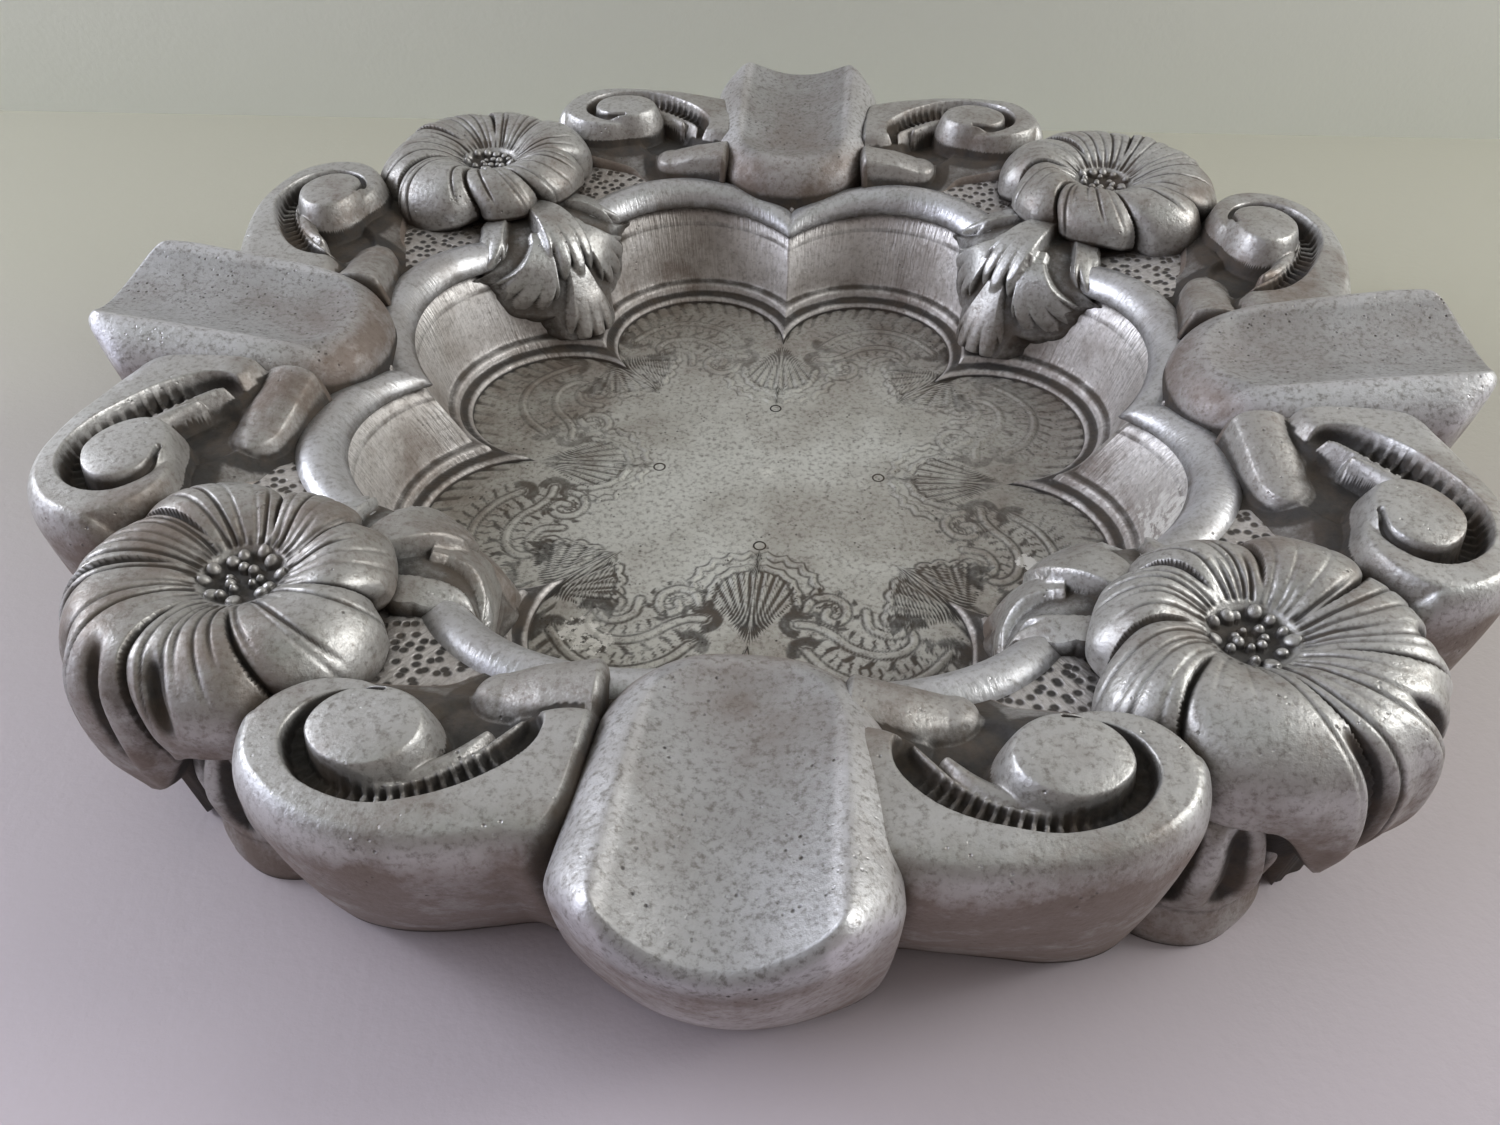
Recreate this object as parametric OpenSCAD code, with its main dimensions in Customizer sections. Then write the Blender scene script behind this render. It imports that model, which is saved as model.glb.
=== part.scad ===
// Cast-metal vanity tray: a low ring with an eight-lobed well, four concave
// rests on the main axes, four blossoms on the diagonals and paired scrolls
// between them. Millimetres. Z is up, and the tray stands on Z = 0 with its
// centre on the Z axis.

/* [Overall] */
// Radius of the tray at the outer lips of the rests
tray_r = 100; // [90:1:110]
// Height of the rests' outer horns above the table
tray_h = 35.5; // [34:0.5:38]
// Height of the ring's top, which carries the ornaments
land_h = 22; // [21:0.5:23]

/* [Well] */
// Height of the chased floor above the table
floor_h = 4; // [3.5:0.25:5]
// Thickness of the floor plate
floor_t = 1.6; // [1.2:0.1:2]
// Height of the moulding round the well's mouth
bead_h = 2.7; // [2:0.1:3.2]
// Width of the moulding round the well's mouth
bead_w = 3.7; // [3:0.1:3.8]

/* [Rests] */
// Width of a rest
rest_w = 30; // [28:0.5:32]
// Width of a rest's concave channel
channel_w = 21; // [18:0.5:22]
// Depth of the channel below its horns
channel_d = 3.8; // [3:0.2:4]

/* [Ornaments] */
// Petals on a blossom
petals = 7; // [6:1:8]
// Lobes on a leaf spray
spray_lobes = 3; // [2:1:4]
// Ribs on an outer leaf
leaf_ribs = 3; // [2:1:4]

/* [Hidden] */
$fn = 64;
over = 1;                        // how far a cutter runs past a face

k = tray_r / 100;                // plan sizes grow with the tray
ring_foot_r = 81 * k;            // plain ring, at the table
ring_top_r = 87 * k;             // plain ring, at the land

lobes = 8;
lobe_at = 38.3 * k;              // centre of a well lobe from the tray's axis
lobe_foot_r = 15.2 * k;
lobe_land_r = 22.4 * k;
well_core_r = 36 * k;            // disc that joins the lobes in the middle
bead_half_angle = 63;            // degrees of moulding each side of a lobe's axis

hollow_in_r = 66 * k;            // channel cast into the underside
hollow_out_r = 77 * k;
hollow_roof_h = land_h - 5;

rest_slope = 10;                 // degrees the rest falls towards the well
rest_in_r = 61.5 * k;
rest_foot_r = 89 * k;            // outer face of a rest, at the table

blossom_at = 78.5 * k;
blossom_foot_r = 13.5 * k;
blossom_top_r = 19 * k;
blossom_h = 24;
petal_r = 7.6 * k;
petal_at = 11 * k;               // petal's centre from the blossom's
petal_sink = 2.6;                // petal's centre below the top of its column
throat_r = 8 * k;                // mouth of the throat
throat_foot_r = 3 * k;
throat_foot_h = land_h + 0.6;
throat_top_h = 29;
stamens = 6;
stamen_r = 0.7;
stamen_h = 2.4;

scroll_lobe = [28.5 * k, 70 * k];    // wall lobe below a scroll
scroll_lobe_foot_r = 12.5 * k;
scroll_lobe_top_r = 17 * k;
eye = [34.2 * k, 76.6 * k];      // centre of a scroll's eye
eye_r = 5.4 * k;
eye_h = 8.5;
ribbon_r = 8.4 * k;              // centreline of the ribbon round the eye
ribbon_w = 4 * k;
ribbon_h = 6;
ribbon_from = -35;
ribbon_sweep = 235;
ball = [23.2 * k, 65.5 * k];
ball_r = 4.6 * k;
ball_h = 5.4;
tail_at = [27.4 * k, 73.4 * k];  // centre of the tail from the ribbon to the ball
tail_r = 7.6 * k;
tail_from = 95;
tail_sweep = 145;

spray_r = 4.8;                   // radius of a leaf spray's lobe
spray_top = [59 * k, 23];        // radius and height of a spray's top
spray_tip = [47.5 * k, 8];       // radius and height of its tip
spray_spread = 8.5;              // degrees between lobes at the top
spray_splay = 4;                 // degrees each lobe leans from its neighbour

leaf_at = 37.6;                  // degrees from a rest's axis to an outer leaf
leaf_r = 86.5 * k;
leaf_rib_foot_r = 6.4;
leaf_rib_top_r = 5.2;
leaf_rib_step = 3.2;             // degrees between ribs
leaf_rib_out = 2;                // each rib stands this much further out
leaf_top_h = 20;

pin_r = 0.95;
pin_at = 17.6 * k;
pin_sink = 0.3;                  // pins lie this far below the floor
pin_foot_h = 1;

metal = "silver";
dull = "darkgray";

// ---------- helpers ----------

// A bar with rounded ends, standing on its lower end's centre
module spindle(len, r) {
    rotate_extrude() intersection() {
        translate([0, -r]) square([r, len + 2 * r]);
        union() {
            circle(r);
            square([r, len]);
            translate([0, len]) circle(r);
        }
    }
}

// A spindle between two points in the plane Y = 0
module spindle_between(a, b, r) {
    d = b - a;
    translate([a[0], 0, a[1]]) rotate([0, atan2(d[0], d[1]), 0])
        spindle(norm(d), r);
}

// A round pad with its edge cut back
module pad(r, h) {
    cut = r / 4;
    rotate_extrude() polygon([[0, 0], [r, 0], [r, h - cut], [r - cut, h], [0, h]]);
}

// Part of a ring with its edges cut back, about the Z axis
module ribbon(r, w, h, from, sweep) {
    cut = w / 4;
    rotate([0, 0, from]) rotate_extrude(angle = sweep) translate([r - w / 2, 0])
        polygon([[0, 0], [w, 0], [w, h - cut], [w - cut, h], [cut, h], [0, h - cut]]);
}

// ---------- masses that the pieces share ----------

module ring() {
    cylinder(h = land_h, r1 = ring_foot_r, r2 = ring_top_r);
}

module scroll_wall() {
    translate([scroll_lobe[0], scroll_lobe[1], 0])
        cylinder(h = land_h, r1 = scroll_lobe_foot_r, r2 = scroll_lobe_top_r);
}

// One lobe of the well, straight-sided above the land
module lobe_void(top) {
    translate([lobe_at, 0, 0]) rotate_extrude()
        polygon([[0, floor_h], [lobe_foot_r, floor_h],
                 [lobe_land_r, land_h], [lobe_land_r, top], [0, top]]);
}

// Plan of the floor
module floor_plan() {
    circle(well_core_r);
    for (i = [0 : lobes - 1]) rotate([0, 0, (i + 0.5) * 360 / lobes])
        translate([lobe_at, 0]) circle(lobe_foot_r);
}

module blossom_column() {
    translate([blossom_at, 0, 0])
        cylinder(h = blossom_h, r1 = blossom_foot_r, r2 = blossom_top_r);
}

module pins(z, h) {
    for (i = [0 : 3]) rotate([0, 0, i * 90]) translate([pin_at, 0, z])
        cylinder(h = h, r = pin_r);
}

// ---------- pieces ----------

module tray_body() {
    color(dull) difference() {
        union() {
            ring();
            for (q = [0 : 90 : 270]) rotate([0, 0, q]) {
                scroll_wall();
                mirror([1, 0, 0]) scroll_wall();
            }
        }
        for (i = [0 : lobes - 1])
            rotate([0, 0, (i + 0.5) * 360 / lobes]) lobe_void(land_h + over);
        translate([0, 0, floor_h - floor_t]) {
            linear_extrude(floor_t + over / 2) floor_plan();
            cylinder(h = land_h, r = well_core_r);
        }
        translate([0, 0, -over]) difference() {
            cylinder(h = hollow_roof_h + over, r = hollow_out_r);
            translate([0, 0, -over])
                cylinder(h = hollow_roof_h + 3 * over, r = hollow_in_r);
        }
        pins(pin_foot_h, floor_h);
    }
}

module well_moulding() {
    cut = bead_w / 4;
    color(metal) for (i = [0 : lobes - 1])
        rotate([0, 0, (i + 0.5) * 360 / lobes]) translate([lobe_at, 0, land_h])
            ribbon(lobe_land_r + bead_w / 2, bead_w, bead_h,
                   -bead_half_angle, 2 * bead_half_angle);
}

module floor_plate() {
    color(dull) difference() {
        translate([0, 0, floor_h - floor_t]) linear_extrude(floor_t) floor_plan();
        pins(0, floor_h + over);
    }
}

module floor_pins() {
    color("dimgray") pins(pin_foot_h, floor_h - pin_sink - pin_foot_h);
}

// A block with round ends, whose top falls towards the well and is hollowed
module rest(turn) {
    half = rest_w / 2;
    channel_r = (channel_w * channel_w / 4 + channel_d * channel_d) / (2 * channel_d);
    long = tray_r - half - (rest_in_r + half);
    color(metal) rotate([0, 0, turn]) difference() {
        intersection() {
            translate([0, rest_in_r + half, 0]) linear_extrude(tray_h) {
                circle(half);
                translate([-half, 0]) square([rest_w, long]);
                translate([0, long]) circle(half);
            }
            cylinder(h = tray_h, r1 = rest_foot_r, r2 = tray_r + over);
        }
        ring();
        translate([0, tray_r, tray_h]) rotate([rest_slope, 0, 0]) {
            translate([-rest_w, -tray_r, 0]) cube([2 * rest_w, 1.5 * tray_r, tray_h]);
            translate([0, tray_r / 2, channel_r - channel_d]) rotate([90, 0, 0])
                cylinder(h = 1.5 * tray_r, r = channel_r);
        }
    }
}

module blossom(turn) {
    color(metal) rotate([0, 0, turn]) {
        difference() {
            union() {
                blossom_column();
                for (i = [0 : petals - 1]) translate([blossom_at, 0, blossom_h])
                    rotate([0, 0, i * 360 / petals])
                        translate([petal_at, 0, -petal_sink]) sphere(petal_r);
            }
            ring();
            translate([blossom_at, 0, throat_foot_h])
                cylinder(h = throat_top_h - throat_foot_h,
                         r1 = throat_foot_r, r2 = throat_r);
        }
        for (i = [0 : stamens - 1]) translate([blossom_at, 0, land_h])
            rotate([0, 0, i * 360 / stamens]) translate([throat_foot_r - over, 0, 0])
                cylinder(h = stamen_h, r = stamen_r);
    }
}

// Lobes that hang from the land over the well's rim
module leaf_spray(turn) {
    half = (spray_lobes - 1) / 2;
    step = 360 / lobes;
    color(metal) rotate([0, 0, turn]) intersection() {
        for (i = [-half : half]) rotate([0, 0, i * spray_spread])
            translate([spray_top[0], 0, 0]) rotate([0, 0, i * spray_splay])
                translate([-spray_top[0], 0, 0])
                    spindle_between(spray_tip, spray_top, spray_r);
        union() {
            rotate([0, 0, step / 2]) lobe_void(land_h + 2 * bead_h);
            rotate([0, 0, -step / 2]) lobe_void(land_h + 2 * bead_h);
        }
    }
}

// C-scroll: an eye, a ribbon round it, and a tail that runs to a ball
module scroll(turn, flip) {
    color(metal) rotate([0, 0, turn]) mirror([flip, 0, 0]) translate([0, 0, land_h]) {
        translate(eye) {
            pad(eye_r, eye_h);
            ribbon(ribbon_r, ribbon_w, ribbon_h, ribbon_from, ribbon_sweep);
        }
        translate(tail_at) ribbon(tail_r, ribbon_w, ribbon_h - 1, tail_from, tail_sweep);
        translate(ball) pad(ball_r, ball_h);
    }
}

// Ribbed leaf against the outer wall, between a scroll and a blossom
module outer_leaf(turn, flip) {
    half = (leaf_ribs - 1) / 2;
    color(metal) rotate([0, 0, turn]) mirror([flip, 0, 0]) difference() {
        for (i = [-half : half])
            rotate([0, 0, 90 - leaf_at - i * leaf_rib_step])
                translate([leaf_r + i * leaf_rib_out, 0, 0])
                    cylinder(h = leaf_top_h - abs(i), r1 = leaf_rib_foot_r,
                             r2 = leaf_rib_top_r);
        ring();
        scroll_wall();
        rotate([0, 0, 45]) blossom_column();
    }
}

// ---------- assembly ----------

tray_body();
well_moulding();
floor_plate();
floor_pins();

sides = ["back", "left", "front", "right"];
for (i = [0 : 3]) {
    turn = i * 90;
    rest(turn);
    scroll(turn, 0);
    scroll(turn, 1);
    outer_leaf(turn, 0);
    outer_leaf(turn, 1);
}

corners = ["back_right", "back_left", "front_left", "front_right"];
for (i = [0 : 3]) {
    turn = 45 + i * 90;
    blossom(turn);
    leaf_spray(turn);
}
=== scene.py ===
"""Visual model of the cast-metal dresser dish, in the CAD frame. Lengths here are in
millimetres until mesh() turns them into metres."""

import math

import bpy
import numpy as np
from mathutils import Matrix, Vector


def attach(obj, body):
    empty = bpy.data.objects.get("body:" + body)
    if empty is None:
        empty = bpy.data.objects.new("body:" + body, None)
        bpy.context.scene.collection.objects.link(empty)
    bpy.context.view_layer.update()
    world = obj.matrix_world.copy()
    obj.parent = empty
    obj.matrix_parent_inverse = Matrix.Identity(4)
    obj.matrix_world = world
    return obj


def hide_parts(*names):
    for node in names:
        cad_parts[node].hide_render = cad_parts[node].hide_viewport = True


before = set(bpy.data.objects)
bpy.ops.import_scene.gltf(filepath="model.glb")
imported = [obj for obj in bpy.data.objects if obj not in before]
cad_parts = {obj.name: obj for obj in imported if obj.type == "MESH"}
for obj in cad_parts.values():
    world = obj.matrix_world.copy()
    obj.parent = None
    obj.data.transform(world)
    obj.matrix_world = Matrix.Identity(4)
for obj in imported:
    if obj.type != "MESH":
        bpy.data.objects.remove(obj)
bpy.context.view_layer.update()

MM = 0.001
TAU = 2 * math.pi

# ---------------------------------------------------------------- small maths


def smooth(a, b, x):
    """0 below a, 1 above b, with a smooth rise between."""
    t = np.clip((x - a) / (b - a), 0, 1)
    return t * t * (3 - 2 * t)


def smax(a, b, k):
    """Maximum of a and b, with the crease filled over a height of k."""
    h = np.clip(0.5 + 0.5 * (a - b) / k, 0, 1)
    return b + (a - b) * h + k * h * (1 - h)


def smin(a, b, k):
    """Minimum of a and b, with its crease filled in the same way."""
    return -smax(-a, -b, k)


def turn(xy, degrees):
    """Points turned about the origin."""
    c, s = math.cos(math.radians(degrees)), math.sin(math.radians(degrees))
    return np.stack([xy[..., 0] * c - xy[..., 1] * s, xy[..., 0] * s + xy[..., 1] * c], -1)


def spline(points, n, closed=False, even=True):
    """n points along a Catmull-Rom curve through the given ones, spaced evenly along it, or, with
    even off, so that each given point keeps the same share of them."""
    p = np.asarray(points, float)
    q = np.vstack([p[-1:], p, p[:2]]) if closed else np.vstack([2 * p[0] - p[1], p, 2 * p[-1] - p[-2]])
    out = []
    for i in range(len(q) - 3):
        a, b, c, d = q[i : i + 4]
        t = np.linspace(0, 1, 24, endpoint=False)[:, None]
        bend, twist = 2 * a - 5 * b + 4 * c - d, 3 * b - a - 3 * c + d
        out.append(0.5 * (2 * b + (c - a) * t + bend * t**2 + twist * t**3))
    out = np.vstack(out + [q[-2:-1]])
    steps = np.linalg.norm(np.diff(out[:, :2], axis=0), axis=1) if even else np.ones(len(out) - 1)
    s = np.concatenate([[0], np.cumsum(steps)])
    want = np.linspace(0, s[-1], n, endpoint=not closed)
    return np.stack([np.interp(want, s, out[:, k]) for k in range(out.shape[1])], -1)


def stroke(xy, path):
    """Distance from each point to a polyline, and how far along it the nearest place is (0 to 1)
    and which side it is on."""
    shape = xy.shape[:-1]
    p = xy.reshape(-1, 2)
    a, b = path[:-1, :2], path[1:, :2]
    ab = b - a
    best = np.full(len(p), 1e9)
    along = np.zeros(len(p))
    side = np.zeros(len(p))
    n = len(ab)
    for i in range(n):
        ap = p - a[i]
        t = np.clip(ap @ ab[i] / max(ab[i] @ ab[i], 1e-12), 0, 1)
        d = np.linalg.norm(ap - t[:, None] * ab[i], axis=1)
        near = d < best
        best = np.where(near, d, best)
        along = np.where(near, (i + t) / n, along)
        side = np.where(near, np.sign(ab[i][0] * ap[:, 1] - ab[i][1] * ap[:, 0]), side)
    return best.reshape(shape), along.reshape(shape), side.reshape(shape)


def wobble(x, y, seed, size, amount):
    """Slow unevenness, as a hand-finished casting has."""
    r = np.random.default_rng(seed)
    out = 0
    for k in range(6):
        a = r.uniform(0, TAU)
        f = TAU / size * r.uniform(0.6, 1.6)
        out = out + np.sin(f * (x * math.cos(a) + y * math.sin(a)) + r.uniform(0, TAU))
    return amount * out / 6


# ---------------------------------------------------------------- meshes


def mesh(name, verts, faces, material, nodes, slot, **values):
    """Makes a piece, which stands for the CAD nodes given. values are per-vertex attributes."""
    me = bpy.data.meshes.new(name)
    me.from_pydata((np.asarray(verts) * MM).tolist(), [], faces)
    me.validate()
    me.polygons.foreach_set("use_smooth", np.ones(len(me.polygons), bool))
    for key, value in values.items():
        value = np.asarray(value, np.float32)
        if value.ndim == 2:
            me.attributes.new(key, "FLOAT_VECTOR", "POINT").data.foreach_set("vector", value.ravel())
        else:
            me.attributes.new(key, "FLOAT", "POINT").data.foreach_set("value", np.clip(value, 0, 1))
    me.materials.append(material)
    ob = bpy.data.objects.new(name, me)
    bpy.context.scene.collection.objects.link(ob)
    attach(ob, "root")
    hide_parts(*nodes)
    return ob


def grid_faces(rows, cols, start=0):
    """Quads between rows of a closed strip: each row is a ring of cols vertices."""
    r = np.arange(rows - 1)[:, None] * cols + start
    c = np.arange(cols)[None, :]
    d = (c + 1) % cols
    return np.stack([r + c, r + d, r + d + cols, r + c + cols], -1).reshape(-1, 4).tolist()


def rings_mesh(rings, first, last):
    """A closed surface from rings (rows, cols, 3), with a centre point at each end."""
    rows, cols, _ = rings.shape
    verts = np.vstack([rings.reshape(-1, 3), [first], [last]])
    faces = grid_faces(rows, cols)
    a, b = rows * cols, rows * cols + 1
    base = (rows - 1) * cols
    for c in range(cols):
        d = (c + 1) % cols
        faces.append([a, d, c])
        faces.append([b, base + c, base + d])
    return verts, faces


def tube_mesh(rings):
    """A closed ring-shaped surface: (rows, cols, 3), closed both ways."""
    rows, cols, _ = rings.shape
    verts = rings.reshape(-1, 3)
    faces = grid_faces(rows, cols)
    last = (rows - 1) * cols
    for c in range(cols):
        d = (c + 1) % cols
        faces.append([last + c, last + d, d, c])
    return verts, faces


def normals2(p):
    """Outward normals of closed anticlockwise curves (n, 2)."""
    t = np.roll(p, -1, 0) - np.roll(p, 1, 0)
    n = np.stack([t[:, 1], -t[:, 0]], -1)
    return n / np.linalg.norm(n, axis=1, keepdims=True)


def flipped(faces):
    """The same faces, seen from their other side."""
    return [q[::-1] for q in faces]


def pad(centre, outline, top, out, down, foot, foot_z, rings_in=60, tuck=1.5, crease=0.0):
    """A raised pad: top(xy) over a star-shaped outline, an edge that goes out and down by the amounts
    given, rounded or with a crease at its start, a side that ends on the curve foot at the height
    foot_z, and a flat base. Returns the rings and the two centres."""
    n = normals2(outline)
    f = np.linspace(0, 1, rings_in + 1)[1:]
    xy = centre + (outline - centre)[None] * f[:, None, None]
    z = top(xy)
    rows = [np.concatenate([xy, z[..., None]], -1)]
    edge = z[-1]
    out, down = np.broadcast_to(out, edge.shape), np.broadcast_to(down, edge.shape)
    for a in np.linspace(0, math.pi / 2, 13)[1:]:
        p = outline + n * (out * math.sin(a))[:, None]
        drop = crease * math.sin(a) + (1 - crease) * (1 - math.cos(a))
        rows.append(np.concatenate([p, (edge - down * drop)[:, None]], -1)[None])
    start, wall = outline + n * out[:, None], edge - down
    for t in np.linspace(0, 1, 25)[1:]:
        p = start + (foot - start) * t**tuck
        rows.append(np.concatenate([p, (wall + (foot_z - wall) * t)[:, None]], -1)[None])
    first = [centre[0], centre[1], float(top(np.array([centre]))[0])]
    last = [centre[0], centre[1], float(np.mean(foot_z))]
    return np.vstack(rows), first, last


# ---------------------------------------------------------------- plan of the well

LOBE_AT = 39.5  # from the middle of the dish to the middle of a lobe
WELL_FOOT = 15.1  # lobe radius at the foot of the wall


def well(theta, r):
    """Radius of the eight-lobed plan at an angle from +X, for a lobe radius r."""
    d = (theta % (TAU / 8)) - TAU / 16
    return LOBE_AT * np.cos(d) + np.sqrt(np.maximum(r * r - (LOBE_AT * np.sin(d)) ** 2, 0))


def lobe_phase(theta):
    """0 at a cusp, 1 in the middle of a lobe."""
    return np.cos(((theta % (TAU / 8)) - TAU / 16) * 4)


def rest_phase(theta):
    """Angle in degrees from the nearest rest's axis, 0 to 45."""
    d = np.degrees(theta) % 90
    return np.minimum(d, 90 - d)


def ground(x, y):
    """Height of the stippled ground that the ornaments stand on."""
    r = np.hypot(x, y)
    return np.interp(r, [55, 62, 70, 78, 86, 92], [21.5, 22.3, 23.3, 24.5, 25.3, 25.5])


# ---------------------------------------------------------------- materials


def nodes_of(name):
    """A new material and its empty node tree."""
    m = bpy.data.materials.new(name)
    m.use_nodes = True
    nt = m.node_tree
    nt.nodes.clear()
    return m, nt


class Tree:
    """Short calls for making shader nodes."""

    def __init__(self, nt):
        self.nt = nt

    def add(self, kind, **values):
        n = self.nt.nodes.new("ShaderNode" + kind)
        for key, value in values.items():
            setattr(n, key, value)
        return n

    def put(self, node, socket, value):
        s = node.inputs[socket]
        if isinstance(value, bpy.types.NodeSocket):
            self.nt.links.new(value, s)
        else:
            s.default_value = value

    def math(self, op, a, b=0.0, c=0.0, clamp=False):
        n = self.add("Math", operation=op, use_clamp=clamp)
        for i, v in enumerate((a, b, c)):
            self.put(n, i, v)
        return n.outputs[0]

    def ramp(self, value, lo, hi, a=0.0, b=1.0):
        n = self.add("MapRange", interpolation_type="SMOOTHSTEP")
        for i, v in enumerate((value, lo, hi, a, b)):
            self.put(n, i, v)
        return n.outputs[0]

    def mix(self, factor, a, b):
        n = self.add("Mix", data_type="RGBA")
        self.put(n, 0, factor)
        self.put(n, 6, a)
        self.put(n, 7, b)
        return n.outputs[2]

    def noise(self, vector, scale, detail=4.0, rough=0.55, stretch=None):
        if stretch:
            m = self.add("Mapping")
            self.put(m, 0, vector)
            m.inputs["Scale"].default_value = stretch
            vector = m.outputs[0]
        n = self.add("TexNoise")
        self.put(n, "Vector", vector)
        self.put(n, "Scale", scale)
        self.put(n, "Detail", detail)
        self.put(n, "Roughness", rough)
        return n.outputs[0]

    def voronoi(self, vector, scale, dims="3D"):
        n = self.add("TexVoronoi", voronoi_dimensions=dims)
        self.put(n, "Vector", vector)
        self.put(n, "Scale", scale)
        return n.outputs[0]

    def attribute(self, name, vector=False):
        n = self.add("Attribute", attribute_name=name)
        return n.outputs["Vector" if vector else "Fac"]


def metal(name, tint, patina_and_shade_amount=1.0, rough=(0.30, 0.50), stipple=0.0, streak=0.0, pits=0.5, bump=0.5, ao_mm=3.0,
          grime=0.35, shine=0.72, grain=0.45):
    """Aged cast metal of the colour tint: dark with patina in the hollows and with painted shade where
    pieces meet, under overhangs and at the feet, as a per-vertex mark and an ambient-occlusion node put it;
    brown with tarnish and with painted shade on lower sides, as another mark puts it; rougher and greyer
    where dull marks it, dotted where stipple does, and with dried residue where chalk does."""
    m, nt = nodes_of(name)
    t = Tree(nt)
    out = t.add("OutputMaterial")
    bsdf = t.add("BsdfPrincipled")
    nt.links.new(bsdf.outputs[0], out.inputs[0])
    obj = t.add("TexCoord").outputs["Object"]
    cav, flow, tan = t.attribute("cav"), t.attribute("flow", True), t.attribute("tan")
    dull = t.attribute("dull")
    # painted shade: the ambient-occlusion node darkens where pieces meet and in hollows
    ao = t.add("AmbientOcclusion", samples=8)
    t.put(ao, "Distance", ao_mm * MM)
    shade = t.math("SUBTRACT", 1.0, ao.outputs["AO"])
    big = t.noise(obj, 45, 5, 0.6)
    fine = t.noise(obj, 420, 6, 0.65)
    blotch = t.noise(obj, 130, 6, 0.7)
    # darkening: patina in the grooves, painted shade from ambient occlusion where pieces meet and in
    # hollows, and a film in thin patches elsewhere
    deep = t.math("ADD", t.math("MULTIPLY", cav, 1.15), t.math("MULTIPLY", shade, 0.95))
    deep = t.math("MULTIPLY", deep, t.ramp(blotch, 0.25, 0.7, 0.65, 1.25))
    dark = t.ramp(t.math("MULTIPLY", deep, patina_and_shade_amount), 0.22, 0.85)
    film = t.math("ADD", t.math("MULTIPLY", big, 0.6), t.math("MULTIPLY", blotch, 0.4))
    film = t.math("MULTIPLY", t.ramp(film, 0.46, 0.66), grime)
    # the brown film is tarnish, and painted shade on lower sides, where the per-vertex mark puts it
    film = t.math("ADD", film, t.math("MULTIPLY", tan, t.ramp(blotch, 0.3, 0.65, 0.55, 1.0)))
    # small dark pits, left by the sand of the mould
    pit = t.math("SUBTRACT", 1.0, t.ramp(t.voronoi(obj, 900), 0.05, 0.24))
    here = t.math("ADD", t.noise(obj, 190, 4, 0.7), t.math("MULTIPLY", dull, 0.09))
    pit = t.math("MULTIPLY", t.math("MULTIPLY", pit, t.ramp(here, 0.54, 0.68)), pits)
    height = t.math("MULTIPLY", fine, 0.35)
    height = t.math("ADD", height, t.math("MULTIPLY", t.noise(obj, 1500, 3, 0.6), 0.25))
    height = t.math("SUBTRACT", height, t.math("MULTIPLY", pit, 0.9))
    if streak:
        lines = t.noise(flow, 1.0, 3, 0.6, (1.9, 0.16, 1.0))
        height = t.math("ADD", height, t.math("MULTIPLY", lines, streak))
        film = t.math("ADD", film, t.ramp(lines, 0.55, 0.8, 0.0, 0.25))
    if stipple:
        dots = t.math("SUBTRACT", 1.0, t.ramp(t.voronoi(obj, 640, "2D"), 0.20, 0.44))
        where = t.attribute("stipple")
        dots = t.math("MULTIPLY", dots, where)
        height = t.math("SUBTRACT", height, t.math("MULTIPLY", dots, 1.8 * stipple))
        dark = t.math("MAXIMUM", dark, dots)
        film = t.math("ADD", film, t.math("MULTIPLY", where, 0.25))
    dark = t.math("MULTIPLY", dark, 0.93)
    worn = (tint[0] * 0.80, tint[1] * 0.79, tint[2] * 0.77, 1)
    bright = t.mix(t.ramp(big, 0.35, 0.65), (*tint, 1), worn)
    speckle = t.ramp(t.noise(obj, 1300, 4, 0.7), 0.45, 0.72, 0.0, grain)
    bright = t.mix(speckle, bright, (0.16, 0.14, 0.12, 1))
    bright = t.mix(t.math("MULTIPLY", dull, 0.35), bright, (0.12, 0.12, 0.11, 1))
    warm = t.mix(t.math("MINIMUM", film, 0.85), bright, (0.185, 0.135, 0.105, 1))
    speck = t.mix(pit, warm, (0.07, 0.058, 0.05, 1))
    black = t.mix(t.ramp(blotch, 0.4, 0.65), (0.022, 0.019, 0.017, 1), (0.075, 0.057, 0.042, 1))
    colour = t.mix(dark, speck, black)
    crumbs = t.ramp(t.noise(obj, 650, 5, 0.75), 0.38, 0.62, 0.0, 2.2)
    dried = t.ramp(t.math("MULTIPLY", t.attribute("chalk"), crumbs), 0.45, 0.62)
    t.put(bsdf, "Base Color", t.mix(dried, colour, (0.66, 0.64, 0.60, 1)))
    metallic = t.math("SUBTRACT", 1.0, t.math("MULTIPLY", dark, 0.6))
    metallic = t.math("SUBTRACT", metallic, t.math("MULTIPLY", film, 0.35), clamp=True)
    metallic = t.math("MULTIPLY", metallic, shine)
    t.put(bsdf, "Metallic", t.math("MULTIPLY", metallic, t.math("SUBTRACT", 1.0, dried)))
    r = t.math("ADD", t.math("MULTIPLY", fine, 0.5), t.math("MULTIPLY", blotch, 0.5))
    r = t.ramp(r, 0.35, 0.65, rough[0], rough[1])
    for part, more in ((dark, 0.3), (film, 0.15), (dull, 0.10), (dried, 0.4)):
        r = t.math("ADD", r, t.math("MULTIPLY", part, more), clamp=True)
    t.put(bsdf, "Roughness", r)
    b = t.add("Bump")
    t.put(b, "Strength", bump)
    t.put(b, "Distance", 0.35 * MM)
    t.put(b, "Height", height)
    nt.links.new(b.outputs[0], bsdf.inputs["Normal"])
    return m


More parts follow.
